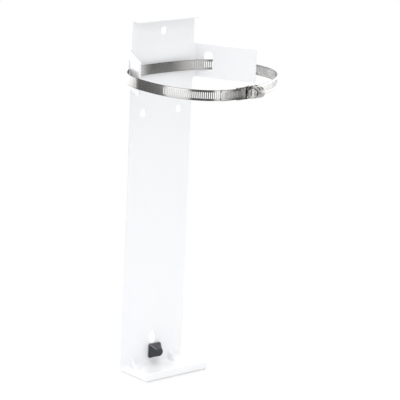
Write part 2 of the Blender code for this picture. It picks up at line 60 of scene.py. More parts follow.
# %% [markdown]
# The photograph was taken from the left and a little above with a long lens. The place and the
# three axes of the camera were worked out from the corners of the folded sheet, and the small
# shift puts the bracket where it stands in the picture.

# %% Camera
CAMERA_PLACE = (-1.589576, -1.927151, 0.531546)
CAMERA_RIGHT = (0.770611, -0.636019, 0.040478)
CAMERA_UP = (0.130099, 0.219170, 0.966974)
CAMERA_AHEAD = (0.623886, 0.739894, -0.251641)

view = bpy.data.cameras.new("photo_view")
view.lens = 198.52
view.sensor_width = 36.0
view.shift_x = 0.05216
view.shift_y = 0.02458
camera = bpy.data.objects.new("photo_view", view)
bpy.context.scene.collection.objects.link(camera)
turn = Matrix((CAMERA_RIGHT, CAMERA_UP, [-part for part in CAMERA_AHEAD])).transposed()
camera.matrix_world = Matrix.Translation(CAMERA_PLACE) @ turn.to_4x4()
bpy.context.scene.camera = camera
bpy.context.scene.view_settings.view_transform = "Standard"
print("camera stands", round(Vector(CAMERA_PLACE).length, 2), "m away")

# %% [markdown]
# Finishes are written as arithmetic. A Value holds one output of a node, and adding or
# multiplying two of them adds the Math node that does it.

# %% Values that take part in arithmetic
class Value:
    """An output of a node that takes part in Python arithmetic."""

    def __init__(self, finish, socket):
        self.finish = finish
        self.socket = socket

    def math(self, operation, *numbers):
        settings = {"operation": operation}
        return self.finish.add("ShaderNodeMath", settings, dict(enumerate(numbers)))[0]

    def __add__(self, other):
        return self.math("ADD", self, other)

    def __radd__(self, other):
        return self.math("ADD", other, self)

    def __sub__(self, other):
        return self.math("SUBTRACT", self, other)

    def __rsub__(self, other):
        return self.math("SUBTRACT", other, self)

    def __mul__(self, other):
        return self.math("MULTIPLY", self, other)

    def __rmul__(self, other):
        return self.math("MULTIPLY", other, self)

    def __truediv__(self, other):
        return self.math("DIVIDE", self, other)

    def __abs__(self):
        return self.math("ABSOLUTE", self)


print("a Value can be added, subtracted, multiplied, divided and made positive")

# %% [markdown]
# Any other node comes from one method, which sets the node's own settings first and then fills
# or links its sockets. Indexing the node that it gives back picks an output.

# %% Nodes of a finish
class Made:
    """A node just made; an index or a name gives one of its outputs as a Value."""

    def __init__(self, finish, node):
        self.finish = finish
        self.node = node

    def __getitem__(self, key):
        return Value(self.finish, self.node.outputs[key])


class Finish:
    """The nodes of one material or of the world."""

    def __init__(self, owner):
        owner.use_nodes = True
        self.tree = owner.node_tree
        self.tree.nodes.clear()

    def add(self, kind, settings=None, inputs=None):
        node = self.tree.nodes.new(kind)
        for name, value in (settings or {}).items():
            if name == "stops":
                self.set_stops(node.color_ramp.elements, value)
            else:
                setattr(node, name, value)
        for name, value in (inputs or {}).items():
            if isinstance(value, Value):
                self.tree.links.new(value.socket, node.inputs[name])
            else:
                node.inputs[name].default_value = value
        return Made(self, node)

    @staticmethod
    def set_stops(elements, stops):
        """Fill a ramp with greys, given as pairs of place and level."""
        while len(elements) > 1:
            elements.remove(elements[-1])
        for k, (place, level) in enumerate(stops):
            stop = elements[0] if k == 0 else elements.new(place)
            stop.position = place
            stop.color = (level, level, level, 1.0)


print("a Finish makes nodes, and each Made gives its outputs")

# %% [markdown]
# A finish needs to know where a point lies on its piece and which way the surface faces there.
# These helpers read that. Places are object coordinates, so a pattern stays on its piece when
# the piece moves.

# %% Helpers that read places and directions
def new_finish(name):
    material = bpy.data.materials.new(name)
    return material, Finish(material)


def place_on_object(finish, scale=(1.0, 1.0, 1.0)):
    """Object coordinates, in metres, stretched where a scale is given."""
    coordinates = finish.add("ShaderNodeTexCoord")["Object"]
    return finish.add("ShaderNodeMapping", {"vector_type": "POINT"},
                      {"Vector": coordinates, "Scale": scale})[0]


def facing(finish):
    """The direction that the surface faces."""
    return finish.add("ShaderNodeNewGeometry")["True Normal"]


def axes(finish, vector):
    return finish.add("ShaderNodeSeparateXYZ", None, {0: vector})


def share_along(finish, vector, direction):
    """How far a vector reaches in a direction."""
    return finish.add("ShaderNodeVectorMath", {"operation": "DOT_PRODUCT"},
                      {0: vector, 1: direction})["Value"]


def angle_of(finish, first, second):
    """The angle, in radians, of a direction with these two parts."""
    return finish.add("ShaderNodeMath", {"operation": "ARCTAN2"}, {0: first, 1: second})[0]


print("helpers read places, directions and angles")

# %% [markdown]
# A mask is a number from 0 to 1 that says where on a piece something happens. Most masks here
# are a slope between two measures, such as two heights or two tilts of the surface. Where the
# first measure is the larger one, the mask falls instead.

# %% Helpers that make masks and blends
def noise(finish, where, scale, detail=2.0, roughness=0.5):
    return finish.add("ShaderNodeTexNoise", {"noise_dimensions": "3D"},
                      {"Vector": where, "Scale": scale, "Detail": detail,
                       "Roughness": roughness})["Fac"]


def slope(finish, value, zero_at, one_at):
    """A mask that is 0 at one measure, 1 at the other and straight between them."""
    return finish.add("ShaderNodeMapRange", {"clamp": True},
                      {"Value": value, "From Min": zero_at, "From Max": one_at})["Result"]


def clamped(finish, value, low=0.0, high=1.0):
    return finish.add("ShaderNodeClamp", None, {"Value": value, "Min": low, "Max": high})[0]


def blended(finish, factor, first, second):
    return finish.add("ShaderNodeMix", {"data_type": "RGBA"}, {0: factor, 6: first, 7: second})[2]


print("helpers make noise, slopes and blends")

# %% [markdown]
# Every material ends in the same way. A Bump node turns a height into a bent normal, a Bevel
# node under it rounds the edges without more faces, and the Principled shader takes them.

# %% Helpers that end a finish
def bumped(finish, height, distance, edge_radius):
    """A normal from a height, over edges rounded by a radius."""
    rounded = finish.add("ShaderNodeBevel", {"samples": 6}, {"Radius": edge_radius})["Normal"]
    return finish.add("ShaderNodeBump", None, {"Height": height, "Distance": distance,
                                               "Strength": 1.0, "Normal": rounded})["Normal"]


def surface(finish, **inputs):
    """The Principled shader; an underscore in a name stands for a space."""
    named = {name.replace("_", " "): value for name, value in inputs.items()}
    shader = finish.add("ShaderNodeBsdfPrincipled", None, named)
    finish.add("ShaderNodeOutputMaterial", None, {"Surface": shader["BSDF"]})


def wear(node, material):
    """Put a finish on a CAD node."""
    mesh = nodes[node].data
    mesh.materials.clear()
    mesh.materials.append(material)
    print(material.name, "on", node, "with", len(mesh.polygons), "faces")


print("finishes can be worn by", sorted(nodes))

# %% [markdown]
# The real sheet is powder coated: a thick, even, fairly glossy white skin with a faint orange
# peel. Faces that look up and the hung top end are painted whiter, as painted light, and the
# folds are painted greyer, as painted shade. A fine noise bends the reflections, a slower one
# varies the gloss, and an Ambient Occlusion node finds the folds for the painted shade.

# %% White powder coat
THIN_WHITE, FULL_WHITE = (0.908, 0.913, 0.924, 1.0), (0.928, 0.932, 0.941, 1.0)
PAINTED_LIGHT_WHITE = (0.975, 0.978, 0.984, 1.0)
SPECK_GREY, FOLD_SHADE_GREY = (0.60, 0.60, 0.60, 1.0), (0.42, 0.43, 0.45, 1.0)
FOLD_REACH, PEEL_DEPTH, SHEET_EDGE = 0.0020, 0.00003, 0.0005

coat, finish = new_finish("white_powder_coat_detail")
where = place_on_object(finish)
peel = noise(finish, where, scale=650.0)
drift = noise(finish, where, scale=18.0, detail=3.0)
speck = slope(finish, noise(finish, where, scale=2600.0, detail=1.0), 0.70, 0.78)
facing_up = slope(finish, axes(finish, facing(finish))["Z"], 0.60, 0.90)
near_top = slope(finish, axes(finish, where)["Z"], 0.085, 0.100)
open_air = finish.add("ShaderNodeAmbientOcclusion", {"samples": 8}, {"Distance": FOLD_REACH})["AO"]
fold_shade = clamped(finish, (1.0 - open_air) * 0.9, high=0.3)

white = blended(finish, drift, THIN_WHITE, FULL_WHITE)
# Painted light: faces that look up and the top end are made whiter.
white = blended(finish, clamped(finish, facing_up + near_top), white, PAINTED_LIGHT_WHITE)
white = blended(finish, speck * 0.12, white, SPECK_GREY)
# Painted shade: the folds, found by Ambient Occlusion, are made greyer.
white = blended(finish, fold_shade, white, FOLD_SHADE_GREY)
surface(finish, Base_Color=white, Roughness=0.27 + 0.10 * drift + 0.06 * peel, Metallic=0.0,
        Specular_IOR_Level=0.5, Coat_Weight=0.25, Coat_Roughness=0.12,
        Normal=bumped(finish, peel, PEEL_DEPTH, SHEET_EDGE))
wear("bracket", coat)

# %% [markdown]
# A painted shadow darkens a narrow band on the strap and the channel beside the screw's end,
# where the head would shade them. It is a mask of two slopes along the screw, kept to the front of
# the loop. The clamp's place and the screw's direction are needed again when its pieces are
# modelled.

# %% Place of the clamp and of the painted shadow by its head
STRAP_MIDDLE = 0.0514
CLAMP_PLACE = (-0.000400, -0.158982, STRAP_MIDDLE)
ALONG_SCREW = (0.981549, 0.191209, 0.0)
CLAMP_ALONG = Vector(CLAMP_PLACE).dot(Vector(ALONG_SCREW))
DARKENED_STEEL = (0.05, 0.047, 0.04, 1.0)
PAINTED_SHADOW_DARK = (0.035, 0.033, 0.028, 1.0)


def along_clamp(finish, where):
    """Length along the screw from the clamp's middle."""
    return share_along(finish, where, ALONG_SCREW) - CLAMP_ALONG


# A mask for the painted shadow beside the screw's end on the strap and the channel.
def painted_shadow_by_head(finish, where):
    along = along_clamp(finish, where)
    head_shadow = slope(finish, along, -0.0140, -0.0133) * slope(finish, along, -0.0105, -0.0112)
    return head_shadow * slope(finish, axes(finish, where)["Y"], -0.130, -0.144)


print("clamp sits", round(1000 * CLAMP_ALONG, 1), "mm along the screw's direction")

# %% [markdown]
# The strap is rolled stainless steel. Rolling leaves hair-fine lines along the band, so a noise
# is stretched along it: its angle round the loop changes slowly and its height changes fast.

# %% Rolling lines of the strap
LOOP_MIDDLE_Y = -0.0798
LOOP_RADIUS = 0.082


def band_place(finish, along, up):
    """Length along the band and height on it, scaled to stretch a noise along the band."""
    parts = axes(finish, finish.add("ShaderNodeTexCoord")["Object"])
    angle = angle_of(finish, parts["Y"] - LOOP_MIDDLE_Y, parts["X"])
    return finish.add("ShaderNodeCombineXYZ", None,
                      {"X": angle * LOOP_RADIUS * along, "Y": parts["Z"] * up, "Z": 0.0})[0]


steel, finish = new_finish("strap_steel_detail")
where = place_on_object(finish)
stretched = band_place(finish, along=60.0, up=5200.0)
lines = noise(finish, stretched, scale=1.0, detail=3.0, roughness=0.6)
cloud = noise(finish, where, scale=120.0, detail=3.0)
print("rolling lines follow a loop of", round(2000 * LOOP_RADIUS), "mm")

# %% [markdown]
# The rolled rims are darker, the side that rubs on the cylinder is duller and is darkened with
# painted shade, and the walls of the punched slots are sheared, so they are pale and matt. Each of
# these is a mask, made from the face's own direction or from the height on the band. On the
# loop's right, where less is seen of the slots, the pale walls and the painted shade of the inner
# side fade out.

# %% Masks of the strap
parts = axes(finish, where)
from_middle = finish.add("ShaderNodeCombineXYZ", None,
                         {"X": parts["X"], "Y": parts["Y"] - LOOP_MIDDLE_Y, "Z": 0.0})[0]
outwards = share_along(finish, facing(finish), from_middle)
upright = axes(finish, facing(finish))["Z"]
above_middle = parts["Z"] - STRAP_MIDDLE

inner_side = slope(finish, outwards, 0.0042, -0.0208)
edge = slope(finish, upright * upright, 0.3, 0.6)
rim = slope(finish, abs(above_middle), 0.00535, 0.00575)
broad = slope(finish, abs(outwards), 0.031, 0.054)
sheared = (1.0 - broad) * (1.0 - edge) * slope(finish, parts["X"], 0.050, 0.025)
dulled_and_shaded = inner_side * (0.90 - 0.55 * slope(finish, parts["X"], 0.040, 0.062))
head_shadow = painted_shadow_by_head(finish, where)
print("strap masks use", len(finish.tree.nodes), "nodes")

# %% [markdown]
# The colours of these places are laid over each other, the painted shadow by the screw's end
# last. A low crown, added as bump, spreads the reflections over the band's height.

# %% Strap steel
DARK_LINE, BRIGHT_LINE = (0.62, 0.61, 0.595, 1.0), (0.76, 0.755, 0.745, 1.0)
DULL_AND_SHADED_STEEL, SHEARED_STEEL = (0.375, 0.37, 0.365, 1.0), (0.86, 0.855, 0.835, 1.0)
EDGE_STEEL, RIM_STEEL = (0.20, 0.195, 0.18, 1.0), (0.17, 0.165, 0.155, 1.0)
CROWN, LINE_DEPTH, BAND_EDGE = -1.6, 0.000012, 0.0002

tone = blended(finish, lines, DARK_LINE, BRIGHT_LINE)
# Painted shade on the inner side of the loop, which is also duller.
tone = blended(finish, dulled_and_shaded, tone, DULL_AND_SHADED_STEEL)
tone = blended(finish, edge * 0.75, tone, EDGE_STEEL)
tone = blended(finish, rim * 0.7, tone, RIM_STEEL)
tone = blended(finish, sheared, tone, SHEARED_STEEL)
# Painted shadow beside the screw's end.
tone = blended(finish, head_shadow * 0.92, tone, PAINTED_SHADOW_DARK)
surface(finish, Base_Color=tone, Metallic=1.0 - 0.6 * sheared,
        Roughness=0.08 + 0.06 * lines + 0.05 * cloud + 0.10 * inner_side + 0.45 * sheared,
        Normal=bumped(finish, above_middle * above_middle * CROWN + LINE_DEPTH * lines, 1.0,
                      BAND_EDGE))
wear("strap", steel)

# %% [markdown]
# The clamp's arch and channel are stamped from thin strip and left a little duller than the
# band, with handling marks in all directions. The arch's end faces towards the head are paler and
# more matt than its sides, because the press tool sheared them.

# %% Arch and channel steel
STAMPED_DARK, STAMPED_PALE = (0.34, 0.335, 0.325, 1.0), (0.48, 0.475, 0.46, 1.0)
CHANNEL_DARK, CHANNEL_PALE = (0.52, 0.51, 0.49, 1.0), (0.68, 0.67, 0.655, 1.0)
CUT_FACE = (0.68, 0.67, 0.65, 1.0)
GRAIN_DEPTH, STAMPED_EDGE = 0.00001, 0.0001


def end_face(finish):
    """A mask for the faces that look along the screw to its head."""
    return slope(finish, share_along(finish, facing(finish), ALONG_SCREW), -0.80, -0.92)


stamped, finish = new_finish("stamped_clamp_detail")
grain = noise(finish, place_on_object(finish), scale=1400.0, detail=4.0, roughness=0.65)
handled = place_on_object(finish, (900.0, 2600.0, 500.0))
marks = slope(finish, noise(finish, handled, scale=1.0), 0.52, 0.60)
cut_end = end_face(finish)
tone = blended(finish, grain, STAMPED_DARK, STAMPED_PALE)
tone = blended(finish, cut_end, tone, CUT_FACE)
surface(finish, Base_Color=tone, Metallic=1.0,
        Roughness=0.26 + 0.10 * grain + 0.05 * marks + 0.18 * cut_end,
        Normal=bumped(finish, grain, GRAIN_DEPTH, STAMPED_EDGE))

channel_steel, finish = new_finish("channel_detail")
where = place_on_object(finish)
grain = noise(finish, where, scale=1400.0, detail=4.0, roughness=0.65)
tone = blended(finish, grain, CHANNEL_DARK, CHANNEL_PALE)
# Painted shadow beside the screw's end.
tone = blended(finish, painted_shadow_by_head(finish, where) * 0.85, tone, DARKENED_STEEL)
surface(finish, Base_Color=tone, Metallic=1.0, Roughness=0.22 + 0.10 * grain,
        Normal=bumped(finish, grain, GRAIN_DEPTH, STAMPED_EDGE))
print("made", stamped.name, "and", channel_steel.name)

# %% [markdown]
# The screw is turned, so its marks run round it: a noise that changes fast along the screw and
# slowly across it. The end of the head, cut last, is paler and more matt than the sides. The
# worm and the groove behind the head are made darker, found by their place along the screw.

# %% Screw steel
TURNED_DARK, TURNED_PALE = (0.40, 0.395, 0.38, 1.0), (0.54, 0.53, 0.52, 1.0)
HEAD_FACE = (0.76, 0.755, 0.74, 1.0)
TURNED_DEPTH = 0.000008

turned_steel, finish = new_finish("turned_screw_detail")
grain = noise(finish, place_on_object(finish, (6000.0, 900.0, 900.0)), scale=1.0, detail=3.0)
along = along_clamp(finish, place_on_object(finish))
in_groove = slope(finish, along, -0.0075, -0.0070) * slope(finish, along, -0.0059, -0.0061)
on_worm = slope(finish, along, -0.0049, -0.0045)
cut_end = end_face(finish)
tone = blended(finish, grain, TURNED_DARK, TURNED_PALE)
tone = blended(finish, (in_groove + on_worm) * 0.9, tone, DARKENED_STEEL)
tone = blended(finish, cut_end, tone, HEAD_FACE)
surface(finish, Base_Color=tone, Metallic=1.0, Roughness=0.26 + 0.10 * grain + 0.20 * cut_end,
        Normal=bumped(finish, grain, TURNED_DEPTH, STAMPED_EDGE))
print("made", turned_steel.name)

# %% [markdown]
# The stop is moulded black rubber, mottled by a noise. The faces that look up are a lighter,
# slightly brown tone, from dusty bloom and from painted light. Its two upper creases carry a thin
# painted highlight, which is found by the distance from the slanting planes through the stop's
# middle and fades at the foot and at the nose.

# %% Rubber
STOP_X, STOP_Z = 0.0030, -0.29095
RUBBER_DARK, RUBBER_PALE = (0.020, 0.023, 0.027, 1.0), (0.034, 0.037, 0.042, 1.0)
DUST_AND_TOP_LIGHT, PAINTED_CREASE_HIGHLIGHT = (0.078, 0.070, 0.067, 1.0), (0.30, 0.31, 0.34, 1.0)
PORE_DEPTH, RUBBER_EDGE = 0.00003, 0.0002

rubber, finish = new_finish("black_rubber_detail")
where = place_on_object(finish)
parts = axes(finish, where)
pores = noise(finish, where, scale=1800.0, detail=3.0)
bloom = noise(finish, where, scale=260.0, detail=3.0)
looks_up = slope(finish, axes(finish, facing(finish))["Z"], 0.25, 0.70)
off_crease = abs(parts["Z"] - STOP_Z - abs(parts["X"] - STOP_X))
on_crease = slope(finish, off_crease, 0.00075, 0.00030)
past_foot = 0.4 + 0.6 * slope(finish, parts["Y"], -0.0030, -0.0060)
before_nose = slope(finish, parts["Y"], -0.0132, -0.0116)
tone = blended(finish, bloom, RUBBER_DARK, RUBBER_PALE)
# Dusty bloom and painted light on the faces that look up.
tone = blended(finish, looks_up * (0.45 + 0.55 * bloom), tone, DUST_AND_TOP_LIGHT)
# Painted highlight along the two upper creases.
tone = blended(finish, on_crease * past_foot * before_nose * 0.9, tone, PAINTED_CREASE_HIGHLIGHT)
surface(finish, Base_Color=tone, Metallic=0.0, Roughness=0.50 + 0.15 * bloom,
        Normal=bumped(finish, pores, PORE_DEPTH, RUBBER_EDGE))
print("made", rubber.name)

# %% [markdown]
# The small metal pieces and the stop are modelled again here, as by hand, because their thread,
# windows, tabs and worn edges are too fine for the CAD solids. Each starts from a primitive or
# from a merged copy of its CAD mesh, is shaped in edit mode or by a modifier, and takes the
# place of its CAD node. An operator acts on all that is selected, so the first helpers select.

# %% Helpers that select
NEAR = 0.0001


def start():
    """Leave edit mode and select nothing, because an operator acts on all that is selected."""
    if bpy.context.object and bpy.context.object.mode != "OBJECT":
        bpy.ops.object.mode_set(mode="OBJECT")
    bpy.ops.object.select_all(action="DESELECT")


def only(piece):
    """Make one piece the active and only selected one."""
    start()
    piece.select_set(True)
    bpy.context.view_layer.objects.active = piece


def edit(piece):
    """Go into edit mode with all of a piece selected."""
    only(piece)
    bpy.ops.object.mode_set(mode="EDIT")
    bpy.ops.mesh.select_all(action="SELECT")


def pick(kind, test):
    """In edit mode, select only the vertices, edges or faces that pass a test."""
    bpy.ops.mesh.select_mode(type=kind)
    bpy.ops.mesh.select_all(action="DESELECT")
    mesh = bpy.context.object.data
    shape = bmesh.from_edit_mesh(mesh)
    for item in {"EDGE": shape.edges, "FACE": shape.faces}[kind]:
        if test(item):
            item.select_set(True)
    bmesh.update_edit_mesh(mesh)


print("places closer than", round(1000 * NEAR, 1), "mm count as the same")

# %% [markdown]
# The next helpers shape: they keep a piece's place in its mesh, apply a modifier, bevel edges,
# and merge doubles before they turn the faces outwards.

# %% Helpers that shape
MERGE_GAP = 0.000002


def settled(piece):
    """Put the object at the origin, unturned and unscaled, and keep its place in the mesh."""
    only(piece)
    bpy.ops.object.transform_apply(location=True, rotation=True, scale=True)
    return piece


def modified(piece, kind, **settings):
    """Add a modifier, set it and apply it."""
    only(piece)
    modifier = piece.modifiers.new(kind.lower(), kind)
    for name, value in settings.items():
        setattr(modifier, name, value)
    bpy.ops.object.modifier_apply(modifier=modifier.name)


def edges_eased(piece, width, angle=35, segments=2):
    """Bevel the edges that turn by more than an angle in degrees."""
    modified(piece, "BEVEL", width=width, segments=segments, limit_method="ANGLE",
             angle_limit=math.radians(angle))


def cleaned(piece, gap=MERGE_GAP):
    """Merge doubles, then turn all faces outwards."""
    edit(piece)
    bpy.ops.mesh.remove_doubles(threshold=gap)
    bpy.ops.mesh.normals_make_consistent(inside=False)
    start()


print("doubles closer than", round(1000000 * MERGE_GAP), "micrometres are merged")

# %% [markdown]
# A plain block is the start of a tab and also the tool that cuts a slot or a window, as a saw or
# a punch would. Parts that belong to one piece are joined at the end.

# %% Helpers that build and cut
def block(x, y, z):
    """A box between two places on each axis, as a start for a tab or a cutter."""
    start()
    bpy.ops.mesh.primitive_cube_add(size=1.0, location=[(a + b) / 2 for a, b in (x, y, z)],
                                    scale=[b - a for a, b in (x, y, z)])
    return settled(bpy.context.object)


def cut(piece, cutter):
    modified(piece, "BOOLEAN", operation="DIFFERENCE", object=cutter, solver="EXACT")
    bpy.data.objects.remove(cutter)


def joined(pieces):
    only(pieces[0])
    for piece in pieces[1:]:
        piece.select_set(True)
    bpy.ops.object.join()
    return bpy.context.object


print("blocks can be made, cut with and joined")

# %% [markdown]
# A finished piece is smoothed by angle, so its bevels shine and its flats stay flat. It then
# stands for its CAD node, rides on that node's body and keeps its material slot.

# %% Helper that hands a piece over
SMOOTH_BELOW = math.radians(32)


def hand_over(piece, name, node, body, material):
    """Name a piece, smooth it, dress it and let it stand for its CAD node."""
    only(piece)
    bpy.ops.object.shade_smooth_by_angle(angle=SMOOTH_BELOW)
    piece.name = name
    piece.data.materials.clear()
    piece.data.materials.append(material)
    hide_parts(node)
    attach(piece, body)
    low = [round(1000 * min(v.co[k] for v in piece.data.vertices), 1) for k in range(3)]
    print(name, "has", len(piece.data.polygons), "faces from", low, "mm")


print("faces that meet at less than", round(math.degrees(SMOOTH_BELOW)), "degrees are smoothed")

# %% [markdown]
# The clamp's pieces share one frame of their own: X runs along the screw to the right, Y is up
# and Z points away from the cylinder. They are modelled in it and then laid on the strap.

# %% Clamp frame
OUTWARDS = (0.191209, -0.981549, 0.0)
SCREW_HEIGHT = 0.0069616
clamp_frame = (Matrix.Translation(CLAMP_PLACE)
               @ Matrix((ALONG_SCREW, (0.0, 0.0, 1.0), OUTWARDS)).transposed().to_4x4())


def laid_on_strap(piece):
    piece.matrix_world = clamp_frame
    return settled(piece)


def copy_of_node(node):
    """A merged copy of a CAD mesh, brought into the clamp's frame."""
    mesh = nodes[node].data.copy()
    mesh.transform(clamp_frame.inverted())
    piece = bpy.data.objects.new(node + "_copy", mesh)
    bpy.context.scene.collection.objects.link(piece)
    edit(piece)
    bpy.ops.mesh.remove_doubles(threshold=MERGE_GAP)
    bpy.ops.mesh.dissolve_limited(angle_limit=math.radians(0.5))
    start()
    return piece


print("screw runs", round(1000 * SCREW_HEIGHT, 2), "mm outside the strap")

# %% [markdown]
# The screw is turned from one bar. Its head is a hexagon with a driver slot: a cylinder of six
# sides whose end is bevelled, cut with a thin box, and eased along its edges.

# %% Head of the screw
HEAD_END, HEAD_START = -0.01195, -0.00695
HEAD_FLATS = 0.0092
SLOT_WIDTH, SLOT_DEPTH = 0.0012, 0.0022
PAST_HEAD, ACROSS_HEAD = 0.001, (-0.008, 0.008)
ALONG_X = (0.0, math.pi / 2, 0.0)

start()
bpy.ops.mesh.primitive_cylinder_add(vertices=6, radius=HEAD_FLATS / math.sqrt(3),
                                    depth=HEAD_START - HEAD_END,
                                    location=((HEAD_START + HEAD_END) / 2, 0.0, SCREW_HEIGHT),
                                    rotation=ALONG_X)
head = settled(bpy.context.object)
edit(head)
pick("FACE", lambda face: face.normal.x < -0.9)
bpy.ops.mesh.bevel(offset=0.0006, segments=2, affect="EDGES")
cut(head, block((HEAD_END - PAST_HEAD, HEAD_END + SLOT_DEPTH), ACROSS_HEAD,
                (SCREW_HEIGHT - SLOT_WIDTH / 2, SCREW_HEIGHT + SLOT_WIDTH / 2)))
edges_eased(head, width=0.00018)
print("screw head has", len(head.data.polygons), "faces")

# %% [markdown]
# Behind the head come a groove, a collar and a neck. They grow from a round disc by extruding
# and scaling it, which is how a lathe tool would step along the bar.

# %% Shaft of the screw
GROOVE_RADIUS, COLLAR_RADIUS, NECK_RADIUS = 0.0041, 0.0053, 0.0030
INTO_HEAD, COLLAR_EASE = 0.0002, 0.0002
SHAFT_STEPS = ((0.0008, GROOVE_RADIUS), (0.0, COLLAR_RADIUS - COLLAR_EASE),
               (COLLAR_EASE, COLLAR_RADIUS), (0.0004, COLLAR_RADIUS),
               (COLLAR_EASE, COLLAR_RADIUS - COLLAR_EASE), (0.0, NECK_RADIUS),
               (0.0018, NECK_RADIUS))

start()
place, radius = HEAD_START - INTO_HEAD, GROOVE_RADIUS
bpy.ops.mesh.primitive_circle_add(vertices=48, radius=radius, fill_type="NGON",
                                  location=(place, 0.0, SCREW_HEIGHT), rotation=ALONG_X)
shaft = settled(bpy.context.object)
edit(shaft)
for further, new_radius in SHAFT_STEPS:
    place += further
    bpy.ops.mesh.extrude_region_move(TRANSFORM_OT_translate={"value": (further, 0.0, 0.0)})
    factor = new_radius / radius
    bpy.ops.transform.resize(value=(1.0, factor, factor),
                             center_override=(place, 0.0, SCREW_HEIGHT))
    radius = new_radius
cleaned(shaft)
print("shaft ends at", round(1000 * place, 2), "mm")

# %% [markdown]
# The worm is one turn of a zigzag, drawn by extruding a single vertex, which a Screw modifier
# sweeps round the axis eight times. It is longer than it has to be and trimmed flat at both ends.

# %% Worm of the screw
WORM_START, WORM_END = -0.00395, 0.00525
WORM_RADIUS, ROOT_RADIUS, PITCH, TURNS = 0.0050, 0.0041, 0.0016, 8
THREAD_DEPTH = WORM_RADIUS - ROOT_RADIUS
ZIGZAG = ((0.25 * PITCH, 0.0), (0.20 * PITCH, THREAD_DEPTH), (0.35 * PITCH, 0.0),
          (0.20 * PITCH, -THREAD_DEPTH))

start()
bpy.ops.mesh.primitive_plane_add(size=PITCH, location=(WORM_START - PITCH, 0.0, ROOT_RADIUS))
worm = settled(bpy.context.object)
edit(worm)
bpy.ops.mesh.select_mode(type="VERT")
bpy.ops.mesh.select_all(action="SELECT")
bpy.ops.mesh.merge(type="CENTER")
for along, up in ZIGZAG:
    bpy.ops.mesh.extrude_vertices_move(TRANSFORM_OT_translate={"value": (along, 0.0, up)})
modified(worm, "SCREW", axis="X", angle=math.tau, screw_offset=PITCH, iterations=TURNS, steps=32,
         render_steps=32)
cleaned(worm, gap=0.00001)
for end, side in ((WORM_START, -1.0), (WORM_END, 1.0)):
    edit(worm)
    bpy.ops.mesh.bisect(plane_co=(end, 0.0, 0.0), plane_no=(side, 0.0, 0.0), use_fill=True,
                        clear_outer=True)
cleaned(worm)
worm.location.z = SCREW_HEIGHT
settled(worm)
print("worm has", len(worm.data.polygons), "faces")

# %% [markdown]
# The three parts overlap a little, so they are joined as they lie and handed over as one piece.

# %% Whole screw
screw = laid_on_strap(joined([head, shaft, worm]))
hand_over(screw, "worm_screw_turned", "worm_screw", "screw", turned_steel)

# %% [markdown]
# The arch over the worm is stamped from strip, with two windows in each flank through which the
# thread shows. A merged copy of the CAD arch gets its windows from boxes, and a narrow bevel
# rounds its edges as a press tool does.

# %% Arch
WINDOWS_ALONG = ((-0.0042, -0.0008), (0.0014, 0.0032))
WINDOW_UP = (SCREW_HEIGHT + 0.0006, SCREW_HEIGHT + 0.0054)
FLANK_INSIDE, FLANK_OUTSIDE = 0.0034, 0.0068

arch = copy_of_node("clamp_housing")
for side in (-1.0, 1.0):
    flank = sorted((side * FLANK_INSIDE, side * FLANK_OUTSIDE))
    for window in WINDOWS_ALONG:
        cut(arch, block(window, flank, WINDOW_UP))
edges_eased(arch, width=0.00018)
hand_over(laid_on_strap(arch), "stamped_arch", "clamp_housing", "frame", stamped)

# %% [markdown]
# The channel holds both layers of the strap. Four tabs are bent up from its rims and folded over
# the feet of the arch. A tab is a box that is extruded upwards and then inwards, and its edges
# are bevelled.

# %% Channel and its tabs
TAB_WALL_INSIDE, TAB_WALL_OUTSIDE = 0.00712, 0.00752
TAB_MIDDLES, HALF_TAB = (-0.0032, 0.0032), 0.0011
TAB_FOOT, TAB_TOP = 0.0004, 0.0031
TAB_STEEL, TAB_REACH = 0.00042, 0.0009
TAB_EDGE = 0.00012

channel = copy_of_node("clamp_saddle")
edges_eased(channel, width=TAB_EDGE, angle=40)
parts_of_channel = [channel]
for side in (-1.0, 1.0):
    wall = sorted((side * TAB_WALL_INSIDE, side * TAB_WALL_OUTSIDE))
    for middle in TAB_MIDDLES:
        tab = block((middle - HALF_TAB, middle + HALF_TAB), wall, (TAB_FOOT, TAB_TOP))
        edit(tab)
        pick("FACE", lambda face: face.normal.z > 0.9)
        bpy.ops.mesh.extrude_region_move(TRANSFORM_OT_translate={"value": (0.0, 0.0, TAB_STEEL)})
        pick("FACE", lambda face: side * face.normal.y < -0.9
             and face.calc_center_median().z > TAB_TOP)
        bpy.ops.mesh.extrude_region_move(
            TRANSFORM_OT_translate={"value": (0.0, -side * TAB_REACH, 0.0)})
        edges_eased(tab, width=TAB_EDGE, angle=40)
        parts_of_channel.append(tab)
print("channel carries", len(parts_of_channel) - 1, "tabs")

# %% [markdown]
# A small ear stands up on the channel's rim beside the screw's head. It is a thin box whose two
# top corners are rounded by a bevel of several segments.

# %% Ear and whole channel
EAR_ALONG, EAR_UP, EAR_THICKNESS = (-0.0108, -0.0090), (0.0068, 0.0084), (0.0008, 0.00150)

ear = block(EAR_ALONG, EAR_UP, EAR_THICKNESS)
edit(ear)
pick("EDGE", lambda edge: all(v.co.y > EAR_UP[1] - NEAR for v in edge.verts)
     and abs(edge.verts[0].co.x - edge.verts[1].co.x) < NEAR)
bpy.ops.mesh.bevel(offset=0.0008, segments=4, affect="EDGES")
edges_eased(ear, width=0.0001, angle=60, segments=1)
channel = laid_on_strap(joined([*parts_of_channel, ear]))
hand_over(channel, "stamped_channel", "clamp_saddle", "frame", channel_steel)

# %% [markdown]
# The stop is moulded: a square foot that runs over into a round nose, so its four creases fade
# out forwards. A square outline is extruded to the foot's depth, and a circle with as many points
# as the outline is bridged to it.

# %% Foot and taper of the stop
STOP_SIDE = 0.0163
STOP_BACK, STOP_SQUARE, STOP_TAPER = -0.0023, -0.0053, -0.0128
NOSE_RADIUS, NOSE_END = 0.0052, -0.0146
TO_THE_WALL = (math.pi / 2, 0.0, 0.0)


def whole_edge(reaches):
    """A test for edges whose two ends both lie within a reach along Y."""
    return lambda edge: all(reaches(v.co.y) for v in edge.verts)


